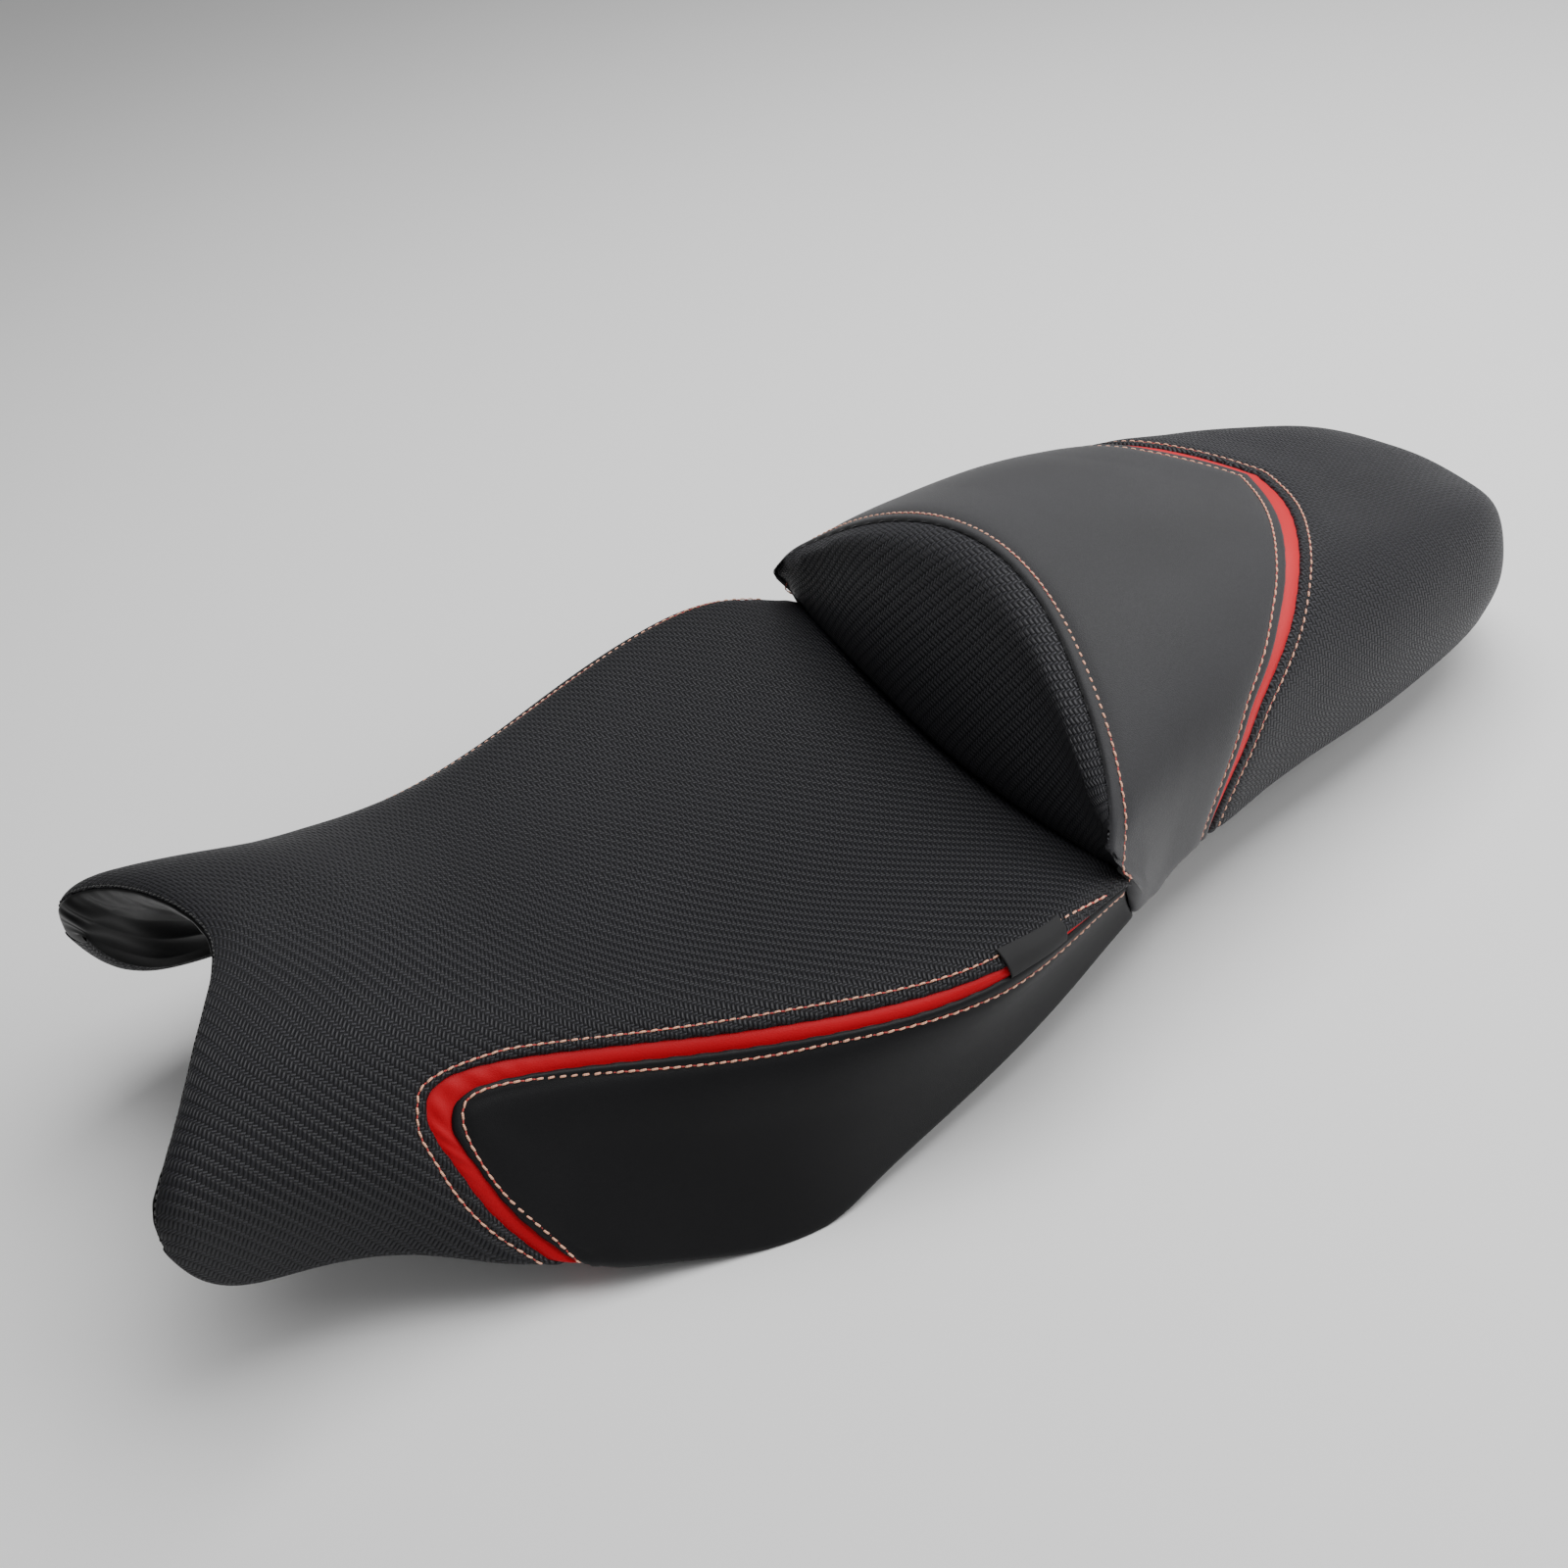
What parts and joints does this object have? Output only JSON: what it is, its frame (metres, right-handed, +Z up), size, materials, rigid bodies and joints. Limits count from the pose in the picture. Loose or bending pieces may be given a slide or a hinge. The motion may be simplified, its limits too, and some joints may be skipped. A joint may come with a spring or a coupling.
{
  "type": "motorcycle seat",
  "caption": "One-piece dual motorcycle seat: padded cover sewn from panels over foam on a moulded base pan with latch hardware",
  "frame": {"origin": "centre of the bounding box at the level of the lowest feet", "axes": "+X towards the nose, +Y towards the rider's left, +Z up"},
  "size_m": [0.7071, 0.3476, 0.1494],
  "materials": {
    "twill_vinyl": "carbon-look twill embossed black vinyl, satin",
    "smooth_vinyl": "smooth fine-grain black vinyl, satin",
    "suede_vinyl": "fine suede-grain black vinyl, matte",
    "red_vinyl": "red vinyl, semi-gloss",
    "lining_vinyl": "thin glossy black vinyl lining",
    "tape": "black woven tape",
    "foam": "open-cell moulded foam",
    "pan_plastic": "moulded polypropylene, fine texture",
    "rubber": "moulded rubber",
    "zinc_steel": "zinc plated steel"
  },
  "bodies": {
    "root": {"base_pan": "pan_plastic", "rider_foam": "foam", "pillion_foam": "foam", "valley_tie_strip": "tape", "rider_top_panel": "twill_vinyl", "side_panel_left": "smooth_vinyl", "side_panel_right": "smooth_vinyl", "side_accent_left": "red_vinyl", "side_accent_right": "red_vinyl", "step_panel": "twill_vinyl", "pillion_front_panel": "suede_vinyl", "pillion_accent": "red_vinyl", "tail_panel": "twill_vinyl", "nose_lining": "lining_vinyl", "label_tag": "tape", "front_hook": "zinc_steel", "front_hook_rivet_1": "zinc_steel", "front_hook_rivet_2": "zinc_steel", "striker_plate": "zinc_steel", "striker_loop": "zinc_steel", "striker_screw_1": "zinc_steel", "striker_screw_2": "zinc_steel", "bumper_front_left": "rubber", "bumper_front_right": "rubber", "bumper_middle_left": "rubber", "bumper_middle_right": "rubber", "bumper_rear_left": "rubber", "bumper_rear_right": "rubber", "bumper_tail_left": "rubber", "bumper_tail_right": "rubber"}
  },
  "joints": []
}
